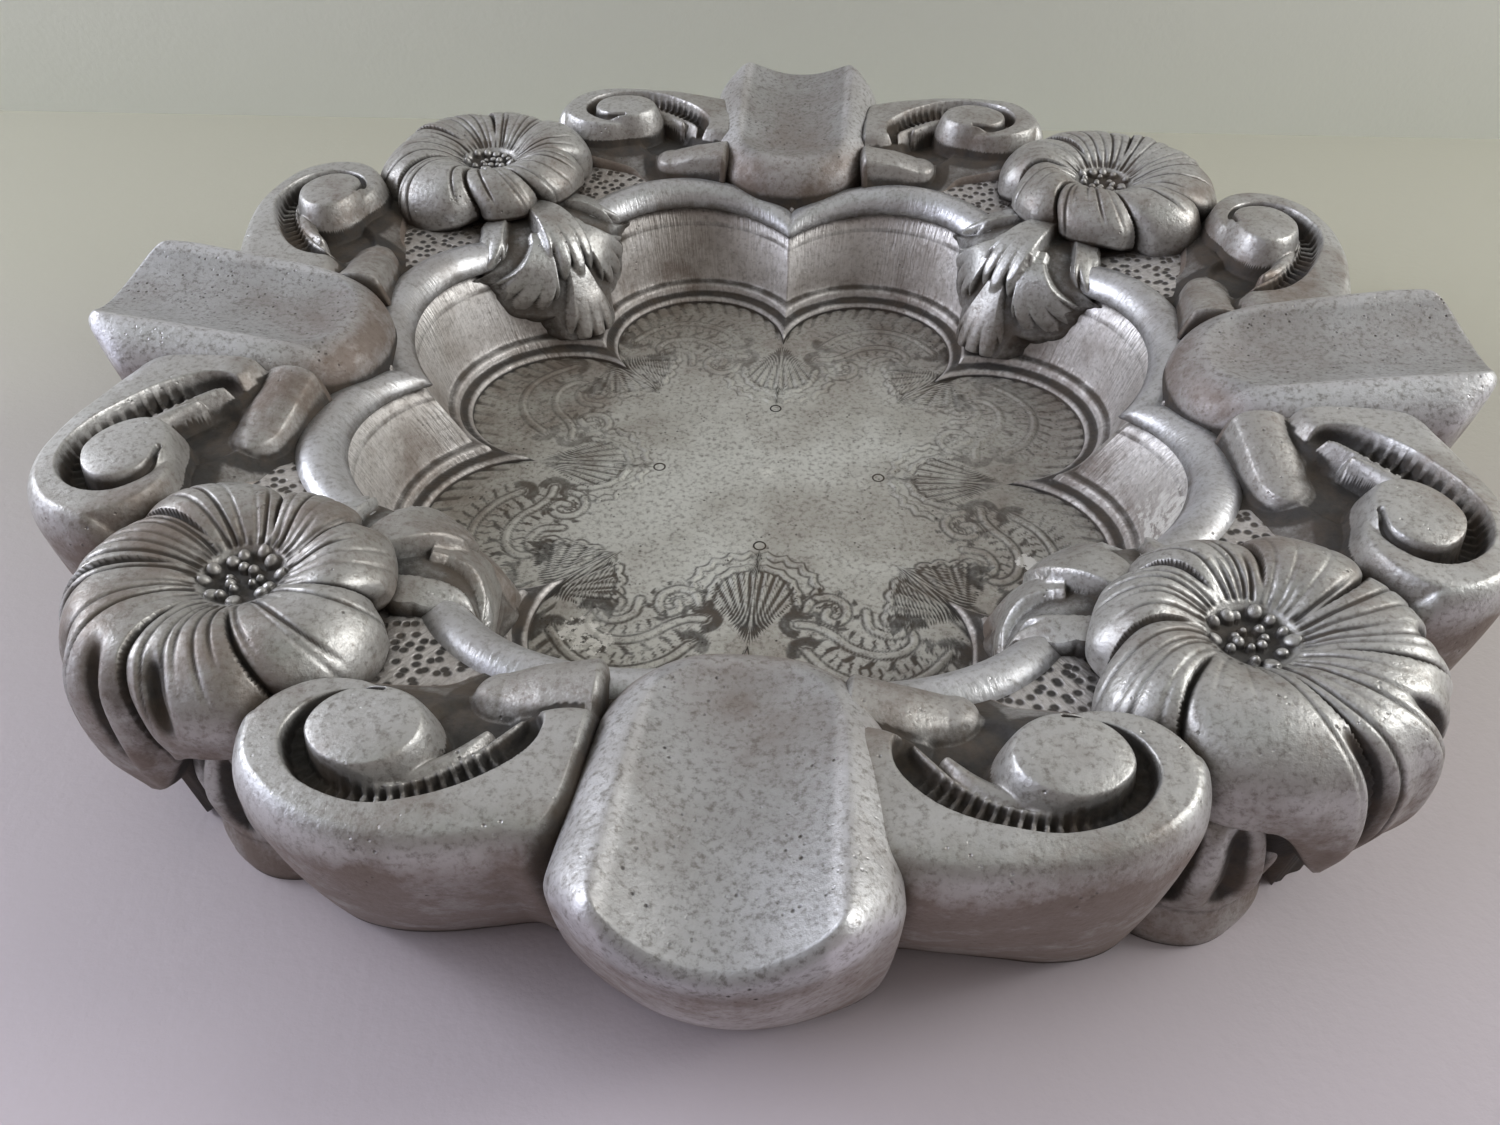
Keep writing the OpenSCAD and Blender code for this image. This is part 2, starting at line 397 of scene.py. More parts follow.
BODY = metal("aged_metal_body", (0.88, 0.86, 0.85), streak=1.3, stipple=1.0, grime=0.45, bump=0.6,
             rough=(0.38, 0.54))
BEAD = metal("aged_metal_moulding", (0.68, 0.685, 0.71), patina_and_shade_amount=0.8, rough=(0.30, 0.46), streak=0.5,
             grime=0.35)
FLOOR = metal("aged_metal_floor", (0.84, 0.84, 0.79), rough=(0.50, 0.66), pits=1.0, ao_mm=1.0, grime=0.3,
              grain=0.7)
REST = metal("aged_metal_rests", (0.70, 0.70, 0.72), patina_and_shade_amount=0.9, rough=(0.40, 0.52), pits=1.0, bump=0.8,
             grime=0.3, grain=0.7)
ORNAMENT = metal("aged_metal_ornament", (0.61, 0.612, 0.605), rough=(0.32, 0.50), pits=0.7, bump=0.9,
                 grime=0.6, grain=0.6)
# near black, as the shade inside the floor's holes: painted shade
PIN_HOLE_SHADE = metal("pin_painted_hole_shade", (0.05, 0.045, 0.04), patina_and_shade_amount=1.5, rough=(0.5, 0.7))

# ---------------------------------------------------------------- tray body

N = 800  # points round the dish
theta = np.arange(N) * TAU / N
phase = rest_phase(theta)

WALL = [  # height, lobe radius
    (3.0, 15.1), (4.0, 15.2), (4.8, 15.5), (5.15, 16.1), (5.25, 16.8), (5.5, 17.25), (6.3, 17.45),
    (6.8, 17.9), (6.95, 18.6), (7.4, 19.0), (9.0, 19.55), (12.0, 20.4), (15.0, 21.3), (17.5, 22.2),
    (19.5, 23.3), (20.6, 24.6), (20.9, 25.8),
]
UNDERSIDE = [  # radius, height of the ring-shaped hollow
    (77.0, 0.0), (76.9, 4.0), (76.7, 10.0), (76.5, 14.5), (74.5, 16.2), (68.5, 16.2), (66.5, 14.5),
             (66.3, 8.0),
    (66.0, 0.0), (33.0, 0.0),
]


def wall_patina_and_shade(z):
    """How dark the well's wall is at a height: painted shade in its foot and under its rim, and patina with
    painted shade along its two beads.
    """
    lines = ((5.25, 0.35, 0.75), (7.0, 0.4, 0.55), (17.2, 0.5, 0.5))
    patina_and_shade_amount = sum(much * math.exp(-(((z - at) / wide) ** 2)) for at, wide, much in lines)
    return min(patina_and_shade_amount + 0.9 * (z < 4.4), 1.0)


def build_body():
    """The dish itself: the well's wall, the stippled ground, the outer wall and the hollow underside."""
    rows, cav, flow, stip, tan, chalk = [], [], [], [], [], []
    lp = np.clip(lobe_phase(theta), 0, 1)
    # dried residue on the wall of one lobe, on the right
    here = np.exp(-(((theta - math.radians(340) + math.pi) % TAU - math.pi) / 0.15) ** 2)

    def row(r, z, c=0.0, s=0.0, v=0.0, b=0.0, k=0.0):
        rows.append(np.stack([r * np.cos(theta), r * np.sin(theta), np.broadcast_to(z, theta.shape)], -1))
        for into, value in ((cav, c), (stip, s), (tan, b), (chalk, k)):
            into.append(np.broadcast_to(value, theta.shape))
        flow.append(np.stack([theta * 55, np.full(N, v), np.zeros(N)], -1))

    row(well(theta, WELL_FOOT) * 0.5, 2.6)
    row(well(theta, WELL_FOOT), 2.6)
    for z, r in spline(WALL, 44):
        # the rim dips over each cusp
        zz = z if z < 9 else 9 + (z - 9) * (0.76 + 0.24 * lp**0.7)
        # browner and darker towards the wall's foot: tarnish and painted shade
        brown = float(1 - smooth(7.0, 16.0, z)) * 0.30 + 0.05
        residue = here * float(smooth(7, 9, z) * smooth(20, 15, z))
        row(well(theta, r), zz, wall_patina_and_shade(z), 0, z, brown, residue)
    # stippled ground, then the outer wall
    inner = well(theta, 26.2)
    base = 82.0 + 4.5 * smooth(24, 36, phase) - 1.0 * smooth(6, 14, 45 - phase)
    topr = base + 1.5
    for k in np.linspace(0, 1, 30):
        r = inner + (topr - 3 - inner) * k
        x, y = r * np.cos(theta), r * np.sin(theta)
        row(r, ground(x, y) - 1.0 * (1 - smooth(0, 0.06, k)), 0.2, 1.0, 20 + 20 * k)
    edge = ground(topr * np.cos(theta), topr * np.sin(theta))
    # the edge, outer wall and underside: browner and darker, with tarnish and painted shade
    for a in np.linspace(0, math.pi / 2, 7)[1:]:
        row(topr - 3 + 3 * math.sin(a), edge - 3 * (1 - math.cos(a)), 0.35, 0.3, 42, 0.5)
    for k in np.linspace(0, 1, 10)[1:]:
        row(topr + (base - topr) * k, (edge - 3) * (1 - k) + 0.5 * k, 0.3, 0, 44 + 20 * k, 0.9)
    row(base - 0.5, 0.0, b=0.8)
    for r, z in UNDERSIDE:
        row(np.full(N, r), z, 0.35, b=0.5)
    verts, faces = rings_mesh(np.array(rows), [0, 0, 2.6], [0, 0, 0])
    flat = lambda v: np.concatenate([np.array(v).ravel(), [0, 0]])
    f = np.vstack([np.array(flow).reshape(-1, 3), np.zeros((2, 3))])
    return mesh("tray_body_cast", verts, flipped(faces), BODY, ["tray_body"], "cast_body", cav=flat(cav),
                flow=f, stipple=flat(stip), tan=flat(tan), chalk=flat(chalk))


def build_moulding():
    """The rolled bead round the well's mouth, dipping to a point over each cusp."""
    lp = np.clip(lobe_phase(theta), 0, 1)
    crest = 20.2 + 4.3 * lp**0.7
    rows, cav, flow = [], [], []
    # section: offset from the rim's radius, height share above the ground
    sec = spline([(-2.6, -0.95), (-2.4, -0.30), (-1.3, 0.50), (0.5, 1.0), (2.6, 0.80), (4.0, 0.15),
                  (4.8, -0.70), (4.5, -1.0), (0.5, -1.15)], 44, True)
    for dr, h in sec:
        r = well(theta, 24.6 + dr)
        low = 17.6 + 2.8 * lp
        z = low + (crest - low) * (h + 1) / 2
        rows.append(np.stack([r * np.cos(theta), r * np.sin(theta), z], -1))
        # painted shade on the bead's lower sides, inside and out
        under = float(smooth(3.8, 4.7, dr)) * 0.8 + 0.6 * float(smooth(-1.9, -2.5, dr))
        cav.append(np.full(N, under))
        flow.append(np.stack([theta * 60, np.full(N, dr * 3), np.zeros(N)], -1))
    verts, faces = tube_mesh(np.array(rows))
    return mesh("well_moulding_cast", verts, flipped(faces), BEAD, ["well_moulding"], "moulding",
                cav=np.concatenate(cav), flow=np.vstack(flow))


# ---------------------------------------------------------------- chased floor


def chased(h, dark, d, height=0.30, width=0.36):
    """Adds a raised line, with a dark scratch along both of its sides, d mm away from each point."""
    h = np.maximum(h, height * np.exp(-((d / width) ** 2)))
    dark = np.maximum(dark, 0.75 * np.exp(-(((d - 0.72) / 0.30) ** 2)))
    return h, dark


def petals(x, y, root, reach, spread, count, scallop=0.0):
    """A fan of chased petals that opens towards the centre from a root on the axis: how high and how
    dark it is, and the distance to its scalloped border."""
    a = np.degrees(np.arctan2(x, root - y))
    run = np.hypot(x, root - y)
    step = 2 * spread / count
    place = (a + spread) / step
    across = np.abs(place - np.round(place)) * 2  # 0 between two petals, 1 in the middle of one
    rim = reach * (1 - 0.16 * (a / spread) ** 2) + scallop * np.sqrt(across)
    inside = (np.abs(a) < spread) & (run < rim)
    bow = across * run * math.radians(step) / 2
    h = inside * 0.32 * smooth(0.0, 0.8, bow) * smooth(0.5, 3.0, run)
    second = 0.8 * np.exp(-(((bow - 0.85) / 0.22) ** 2)) * (run > reach * 0.5)
    dark = inside * np.maximum(np.exp(-((bow / 0.26) ** 2)), second)
    return h, dark, np.where(np.abs(a) < spread + 4, np.abs(run - rim), 9.0)


# Chased lines of an eighth of the floor, in a rest's frame: x across, y outward.
SHELL_RIM = [(-1.5, 19.5), (0.0, 19.4), (3.4, 19.9), (6.6, 21.6), (8.9, 24.4), (9.4, 27.4)]
ARCH = [(-1.2, 22.3), (0.0, 22.2), (3.2, 23.0), (5.4, 25.2), (6.4, 28.0), (6.5, 31.0)]
C_SCROLL = [(7.4, 30.6), (8.4, 28.6), (10.8, 27.7), (12.9, 29.0), (13.2, 31.3), (11.8, 32.7), (10.3, 31.8),
            (10.6, 30.4)]
WAVE = [(6.6, 33.4), (9.0, 33.6), (11.4, 35.0), (14.0, 37.2), (17.4, 38.3), (20.8, 37.6), (22.6, 35.4),
        (22.0, 33.0)]
VOLUTE = [(16.0, 30.2), (16.6, 33.2), (19.2, 34.6), (21.4, 33.4), (21.6, 31.2), (20.0, 30.0), (18.6, 30.9),
          (19.0, 32.2)]
OUTER_WAVE = [(8.0, 38.4), (11.0, 41.6), (15.6, 43.6), (20.4, 43.4), (24.4, 41.0), (27.6, 37.0)]


def floor_relief(xy):
    """Height of the chasing above the plain floor, and how dark it is."""
    r = np.hypot(xy[..., 0], xy[..., 1])
    a = np.radians(rest_phase(np.arctan2(xy[..., 1], xy[..., 0])))
    p = np.stack([r * np.sin(a), r * np.cos(a)], -1)
    h = np.zeros(r.shape)
    dark = np.zeros(r.shape)
    # shell on the rest's axis
    fh, fd, _ = petals(p[..., 0], p[..., 1], 37.6, 14.2, 34, 9)
    arch = (p[..., 0] / 6.3) ** 2 + ((p[..., 1] - 29.5) / 7.2) ** 2 < 1
    h, dark = np.maximum(h, fh * arch), np.maximum(dark, fd * arch)
    for path, bumps, size in ((SHELL_RIM, 5.5, 0.75), (ARCH, 5.5, 0.35)):
        d, t, side = stroke(p, spline(path, 40))
        h, dark = chased(h, dark, np.abs(d * side - size * np.abs(np.sin(math.pi * bumps * t))))
    for path in (C_SCROLL, WAVE, VOLUTE, OUTER_WAVE):
        d, t, side = stroke(p, spline(path, 40))
        h, dark = chased(h, dark, d)
    # dashes that follow the waves
    for path, low, high, pitch in ((WAVE, 0.8, 2.6, 9), (OUTER_WAVE, 0.8, 3.0, 14),
                                   (C_SCROLL, 0.7, 1.7, 8)):
        d, t, side = stroke(p, spline(path, 40))
        band = smooth(low, low + 0.5, d) * smooth(high + 0.4, high, d)
        cuts = smooth(0.25, 0.8, np.sin(TAU * pitch * t + 0.9 * d))
        dark = np.maximum(dark, 0.75 * band * cuts)
        h = h - 0.14 * band * cuts
    # fan on the diagonal
    q = turn(p, 45)
    fh, fd, rim = petals(q[..., 0], q[..., 1], 42.6, 11.0, 62, 9, 0.9)
    h, dark = np.maximum(h, fh), np.maximum(dark, fd)
    h, dark = chased(h, dark, rim)
    # short ticks along the wall
    way = np.arctan2(xy[..., 1], xy[..., 0])
    ticks = smooth(0.0, 0.7, np.sin(np.degrees(way) * 2.2)) * smooth(4.2, 3.2, well(way, WELL_FOOT) - r)
    ticks = ticks * (r > 40)
    dark = np.maximum(dark, 0.65 * ticks)
    h = h - 0.12 * ticks
    near = 0.50 + 0.22 * smooth(5, -25, xy[..., 1])  # it is worn away towards the back
    # the last term darkens it a little towards the wall's foot: painted shade
    return h, np.clip(dark * near + 0.10 * smooth(19, 30, r), 0, 1)


CHALK = [(-23.5, -37.5, 2.6), (39.5, -18.0, 1.6), (40.5, -21.5, 1.3), (-20.5, -39.0, 2.0)]  # x, y, size
FLOOR_AT = 4.0  # height of the plain floor


def build_floor():
    """The chased plate at the bottom of the well."""
    n = 640
    th = np.arange(n) * TAU / n
    edge = well(th, 15.13) + 0.6
    f = np.concatenate([np.linspace(0, 0.3, 9)[1:], np.linspace(0.3, 1, 136)[1:]])
    xy = np.stack([np.cos(th), np.sin(th)], -1)[None] * (edge[None] * f[:, None])[..., None]
    h, dark = floor_relief(xy)
    x, y = xy[..., 0], xy[..., 1]
    # browner and darker towards the wall and the back: tarnish and painted shade
    tan = 0.55 * smooth(22, 46, np.hypot(x, y)) * (0.5 + 0.5 * smooth(-30, 30, y))
    chalk = np.zeros(h.shape)
    for cx, cy, size in CHALK:
        chalk = np.maximum(chalk, np.exp(-(((x - cx) / size) ** 2) - ((y - cy) / (size * 1.1)) ** 2))
    rings = [np.concatenate([xy, (FLOOR_AT + h)[..., None]], -1)]
    for ring, z in ((xy[-1], 3.2), (xy[-1], 2.7), (xy[40], 2.7)):
        rings.append(np.concatenate([ring, np.full((n, 1), z)], -1)[None])
    verts, faces = rings_mesh(np.vstack(rings), [0, 0, FLOOR_AT], [0, 0, 2.7])
    full = lambda v, under: np.concatenate([v.ravel(), np.full(3 * n, under), [0, 0]])
    return mesh("floor_plate_chased", verts, flipped(faces), FLOOR, ["floor_plate"], "chased_floor",
                cav=full(dark, 1.0), dull=full(np.full(h.shape, 0.7), 0.0), tan=full(tan, 0.0),
                chalk=full(chalk, 0.0), flow=verts)


PIN_AT = 17.6  # from the middle of the dish


def build_pins():
    """Four plugs in the floor, one towards each rest, painted near black as the shade inside holes."""
    verts, faces = [], []
    n = 20
    t = np.arange(n) * TAU / n
    for k in range(4):
        cx, cy = turn(np.array([PIN_AT, 0.0]), 90 * k)
        rows = []
        for r, z in ((0.35, 3.90), (0.62, 3.92), (0.85, 4.05), (0.97, 4.08), (1.05, 3.95), (1.0, 3.0)):
            rows.append(np.stack([cx + r * np.cos(t), cy + r * np.sin(t), np.full(n, z)], -1))
        v, f = rings_mesh(np.array(rows), [cx, cy, 3.9], [cx, cy, 3.0])
        faces += [[i + len(verts) for i in q] for q in f]
        verts += v.tolist()
    verts = np.array(verts)
    return mesh("floor_pins_painted_hole_shade", verts, flipped(faces), PIN_HOLE_SHADE, ["floor_pins"], "pins",
                cav=np.ones(len(verts)), flow=verts)


# ---------------------------------------------------------------- rests

# Plan of a rest's right half, in its own frame, from the inner end to the outer one: the edge of its top,
# and its foot.
REST_TOP = [(0.0, 62.6), (5.0, 63.5), (8.7, 66.8), (10.2, 71.5), (10.6, 78.0), (10.8, 86.0), (10.9, 92.0),
            (10.0, 95.4), (5.8, 97.6), (0.0, 98.5)]
REST_FOOT = [(0.0, 58.2), (6.8, 59.2), (12.8, 63.4), (15.8, 70.2), (16.4, 76.5), (16.6, 81.0),
             (14.8, 84.0),
             (11.0, 86.3), (5.8, 88.1), (0.0, 88.7)]


def both_sides(half):
    """A closed outline from its right half."""
    return half + [(-x, y) for x, y in half[-2:0:-1]]


def rest_top(xy):
    """Height of a rest's channel and of the two ridges beside it."""
    x, y = xy[..., 0], xy[..., 1]
    valley = np.interp(y, [58, 62, 80, 99], [27.2, 27.6, 29.4, 31.0])
    depth = np.interp(y, [60, 99], [1.7, 4.1])
    a = np.abs(x) / 10.4
    nose = smooth(69, 62.5, y) * 0.9
    return smin(valley + depth * a**2 + nose, valley + depth + 0.05, 0.35)


def build_rest(name, degrees, shift, seed):
    """A rest, turned to its place and moved sideways from its axis by shift."""
    n = 240
    outline = spline(both_sides(REST_TOP), n, True, even=False)
    foot = spline(both_sides(REST_FOOT), n, True, even=False)
    end = smooth(90, 96.5, outline[:, 1])
    nose = smooth(70, 63, outline[:, 1])
    top = lambda xy: rest_top(xy) + wobble(xy[..., 0], xy[..., 1], seed, 14, 0.10)
    out, down = 5.1 - 4.0 * end - 0.8 * nose, 6.0 - 4.6 * end
    foot_z = 20.5 * (1 - smooth(77, 81, foot[:, 1]))
    middle = np.array([0.0, 80.0])
    rings, first, last = pad(middle, outline, top, out, down, foot, foot_z, 64, 1.5, 0.30)
    verts, faces = rings_mesh(rings, first, last)
    x, y, z = verts.T
    # darker along the foot, where the rest meets the ground: patina and painted shade in the corner
    seam = smooth(2.4, 0.2, z - ground(x, y)) * (y < 84)
    # browner and darker lower down: tarnish and painted shade
    tan = smooth(30.0, 27.0, z) * 0.75
    channel = smooth(9.8, 8.8, np.abs(x)) * smooth(62, 65, y) * (z > 26)
    verts[:, 0] += shift
    verts[:, :2] = turn(verts[:, :2], degrees)
    return mesh(f"{name}_cast", verts, flipped(faces), REST, [name], "rests", cav=0.85 * seam, tan=tan,
                flow=verts, dull=channel)


# ---------------------------------------------------------------- scrolls

# A scroll, in its rest's frame, x across and y outward: the middle of its eye, the plan of its top edge and
# of its foot, with the points in pairs, its crescent, arm and ball as middle lines with half-widths, and
# its spiral groove, with a half-width and the height of its floor.
EYE = (33.6, 76.9)
SCROLL_TOP = [(14.4, 84.2), (18.8, 86.0), (23.8, 87.1), (29.0, 87.6), (34.6, 87.0), (39.8, 84.8),
              (43.9, 80.8),
              (45.4, 75.4), (44.6, 70.6), (40.4, 67.4), (35.0, 66.4), (30.8, 65.4), (28.4, 63.2),
              (26.0, 61.6),
              (22.4, 61.0), (18.0, 61.2), (14.0, 62.2), (13.2, 71.5)]
SCROLL_FOOT = [(16.4, 79.2), (20.2, 78.7), (25.0, 79.6), (30.2, 80.6), (35.8, 80.9), (41.2, 79.8),
               (45.0, 77.2),
               (46.4, 73.6), (45.4, 69.4), (41.0, 66.2), (35.4, 65.2), (31.0, 64.2), (28.6, 62.2),
               (26.0, 60.8),
               (22.3, 60.2), (17.8, 60.4), (13.8, 61.4), (12.8, 71.5)]
CRESCENT = [(32.4, 81.2, 0.7), (28.4, 80.3, 1.3), (25.0, 78.2, 1.3), (22.4, 75.2, 0.7)]
ARM = [(14.4, 78.4, 7.4), (19.6, 82.2, 5.8), (25.4, 84.9, 4.4), (31.2, 86.0, 3.8), (37.4, 84.8, 3.8),
       (42.2, 81.2, 3.4), (43.2, 76.4, 2.9), (41.0, 72.9, 2.3), (37.0, 71.6, 1.8), (33.0, 72.2, 1.3)]
GROOVE = [(33.2, 72.4, 0.30, 31.4), (37.0, 72.4, 0.40, 30.8), (39.9, 74.8, 0.70, 29.8),
          (40.3, 78.4, 1.00, 28.9), (37.4, 82.0, 1.20, 28.4), (32.2, 83.7, 1.30, 28.2),
          (27.6, 82.8, 1.40, 28.2),
          (22.8, 79.9, 1.60, 28.0), (19.4, 76.4, 1.50, 27.8), (18.2, 73.6, 1.00, 27.8),
          (18.9, 71.4, 0.60, 28.0),
          (17.2, 70.2, 0.50, 28.6), (14.2, 70.0, 0.35, 29.4)]
BALL = [(12.5, 66.6, 3.9), (17.0, 66.8, 3.6), (21.0, 67.2, 3.7), (23.2, 67.3, 3.5)]


def swept(xy, path, n=70):
    """Distance to a path, how far along it, and the path's other columns at that place."""
    line = spline(path, n)
    d, t, _ = stroke(xy, line)
    return d, t, *(np.interp(t, np.linspace(0, 1, n), column) for column in line.T[2:])


def scroll_top(xy):
    """Height and darkness of a scroll's relief, in its rest's frame: x across, y outward. The darkness is
    patina in the spiral groove and painted shade where the relief comes down to the ground and round the
    feet of the eye and the ball.
    """
    x, y = xy[..., 0], xy[..., 1]
    g = ground(x, y) + 0.15
    g = g + np.maximum(26.8 - g, 0) * smooth(63.0, 70.5, y + 0.25 * np.maximum(x - 36, 0))
    d, t, w = swept(xy, ARM)
    crown = np.interp(t, [0, 0.3, 0.6, 0.85, 1], [30.6, 31.6, 32.0, 31.4, 30.6])
    crown = crown - 0.10 * np.maximum(y - 84.5, 0) ** 1.5
    h = g + np.maximum(crown - 0.9 * (d / w) ** 4 - g, 0) * smooth(w + 2.2, w - 0.8, d)
    e = np.hypot((x - EYE[0]) / 6.1, (y - EYE[1]) / 5.3)
    h = smax(h, 32.6 - 0.7 * np.minimum(e, 2) ** 4 - 7.0 * smooth(0.88, 1.50, e), 0.6)
    d, t, w = swept(xy, CRESCENT)
    h = smax(h, 29.8 - 1.2 * (d / w) ** 2 - 6.0 * smooth(0.9, 1.9, d / w), 0.3)
    d, t, w = swept(xy, BALL)
    b = d / w
    pocket = smooth(5.5, 4.0, np.hypot(x - 25.4, y - 73.0))
    h = np.where(e > 1.1, h - 1.0 * pocket * smooth(1.4, 0.2, h - g), h)
    ball = np.interp(t, [0, 0.6, 1], [29.4, 28.3, 27.0]) - 1.3 * np.minimum(b, 2) ** 2.5
    h = smax(h, ball - 7.0 * smooth(0.85, 1.6, b), 0.5)
    d, t, w, floor = swept(xy, GROOVE, 110)
    bite = smooth(w * 1.30, w * 0.60, d)
    teeth = smooth(-0.1, 0.5, np.sin(TAU * 36 * t)) * smooth(0.14, 0.20, t) * smooth(0.80, 0.72, t)
    teeth = teeth * (0.35 + 0.65 * smooth(0.36, 0.44, t))
    floor = floor + 0.7 * teeth
    h = np.where(h > floor, h + (floor - h) * bite, h)
    # painted shade where the relief comes down to the ground
    low = smooth(1.6, 0.1, h - g) * (np.hypot(x, y) < 90) * 0.5
    shallow = 0.55 * np.exp(-(((t - 0.50) / 0.07) ** 2))
    dark = bite * (1.1 - 0.55 * teeth - shallow) * smooth(0.0, 0.06, t) + low
    # painted shade round the foot of the eye and of the ball
    skirt_shade = 0.8 * smooth(1.05, 1.2, e) * smooth(1.9, 1.5, e)
    skirt_shade = skirt_shade + 0.6 * smooth(1.0, 1.15, b) * smooth(1.8, 1.4, b)
    return h, np.clip(dark + skirt_shade * (h < 28.0), 0, 1)


def build_scroll(name, degrees, flip, stretch, seed):
    """A scroll, mirrored where flip is set, its far part moved by stretch, and turned to its place."""
    n, rows = 420, 112
    outline = spline(SCROLL_TOP[::-1], n, True, even=False)
    foot = spline(SCROLL_FOOT[::-1], n, True, even=False)
    far = smooth(78, 84, np.hypot(outline[:, 0], outline[:, 1])) * (outline[:, 1] > 70)
    top = lambda xy: scroll_top(xy)[0] + wobble(xy[..., 0], xy[..., 1], seed, 9, 0.10)
    middle = np.array([29.5, 75.0])
    out, down = 1.0 + 1.1 * far, 2.2 + 2.6 * far
    rings, first, last = pad(middle, outline, top, out, down, foot, 21.0 * (1 - far), rows, 1.4, 0.15)
    verts, faces = rings_mesh(rings, first, last)
    x, y, z = verts.T
    on_top = np.arange(len(verts)) < rows * n
    on_top[-2] = True
    # the sides: painted shade near the rest and at the bottom
    wall = 0.35 * smooth(19, 15, x) + 0.25 * smooth(5, 0, z)
    cav = np.where(on_top, scroll_top(verts[:, :2])[1], wall)
    # browner and darker lower down: tarnish and painted shade
    tan = np.where(on_top, 0.12 + 0.3 * smooth(31.5, 28.5, z), smooth(30.5, 25.5, z))
    away = smooth(17, 33, x)
    verts[:, :2] += np.outer(away, stretch)
    if flip:
        verts[:, 0] *= -1
    verts[:, :2] = turn(verts[:, :2], degrees)
    faces = faces if flip else flipped(faces)
    return mesh(f"{name}_cast", verts, faces, ORNAMENT, [name], "ornament", cav=cav, tan=tan, flow=verts)


# ---------------------------------------------------------------- blossoms


# A blossom's sections from its throat to the edge of its petals, as radius and height: the side that
# faces the well, the two flanks, and the side that hangs over the tray's edge.
BLOSSOM_AT = 78.5  # from the middle of the dish
THROAT = [(0.5, 29.3), (2.2, 29.3), (3.8, 29.7), (5.0, 30.7)]
PETAL = ([(7.0, 31.5), (9.8, 31.8), (12.4, 31.2), (14.6, 29.6), (15.9, 27.8), (16.0, 25.8)],
         [(7.4, 32.0), (11.4, 32.5), (15.2, 31.8), (18.4, 29.6), (20.0, 26.4), (19.8, 22.4)],
         [(7.8, 32.2), (12.6, 32.9), (17.2, 31.8), (20.2, 27.0), (20.6, 18.0), (18.2, 9.4)])


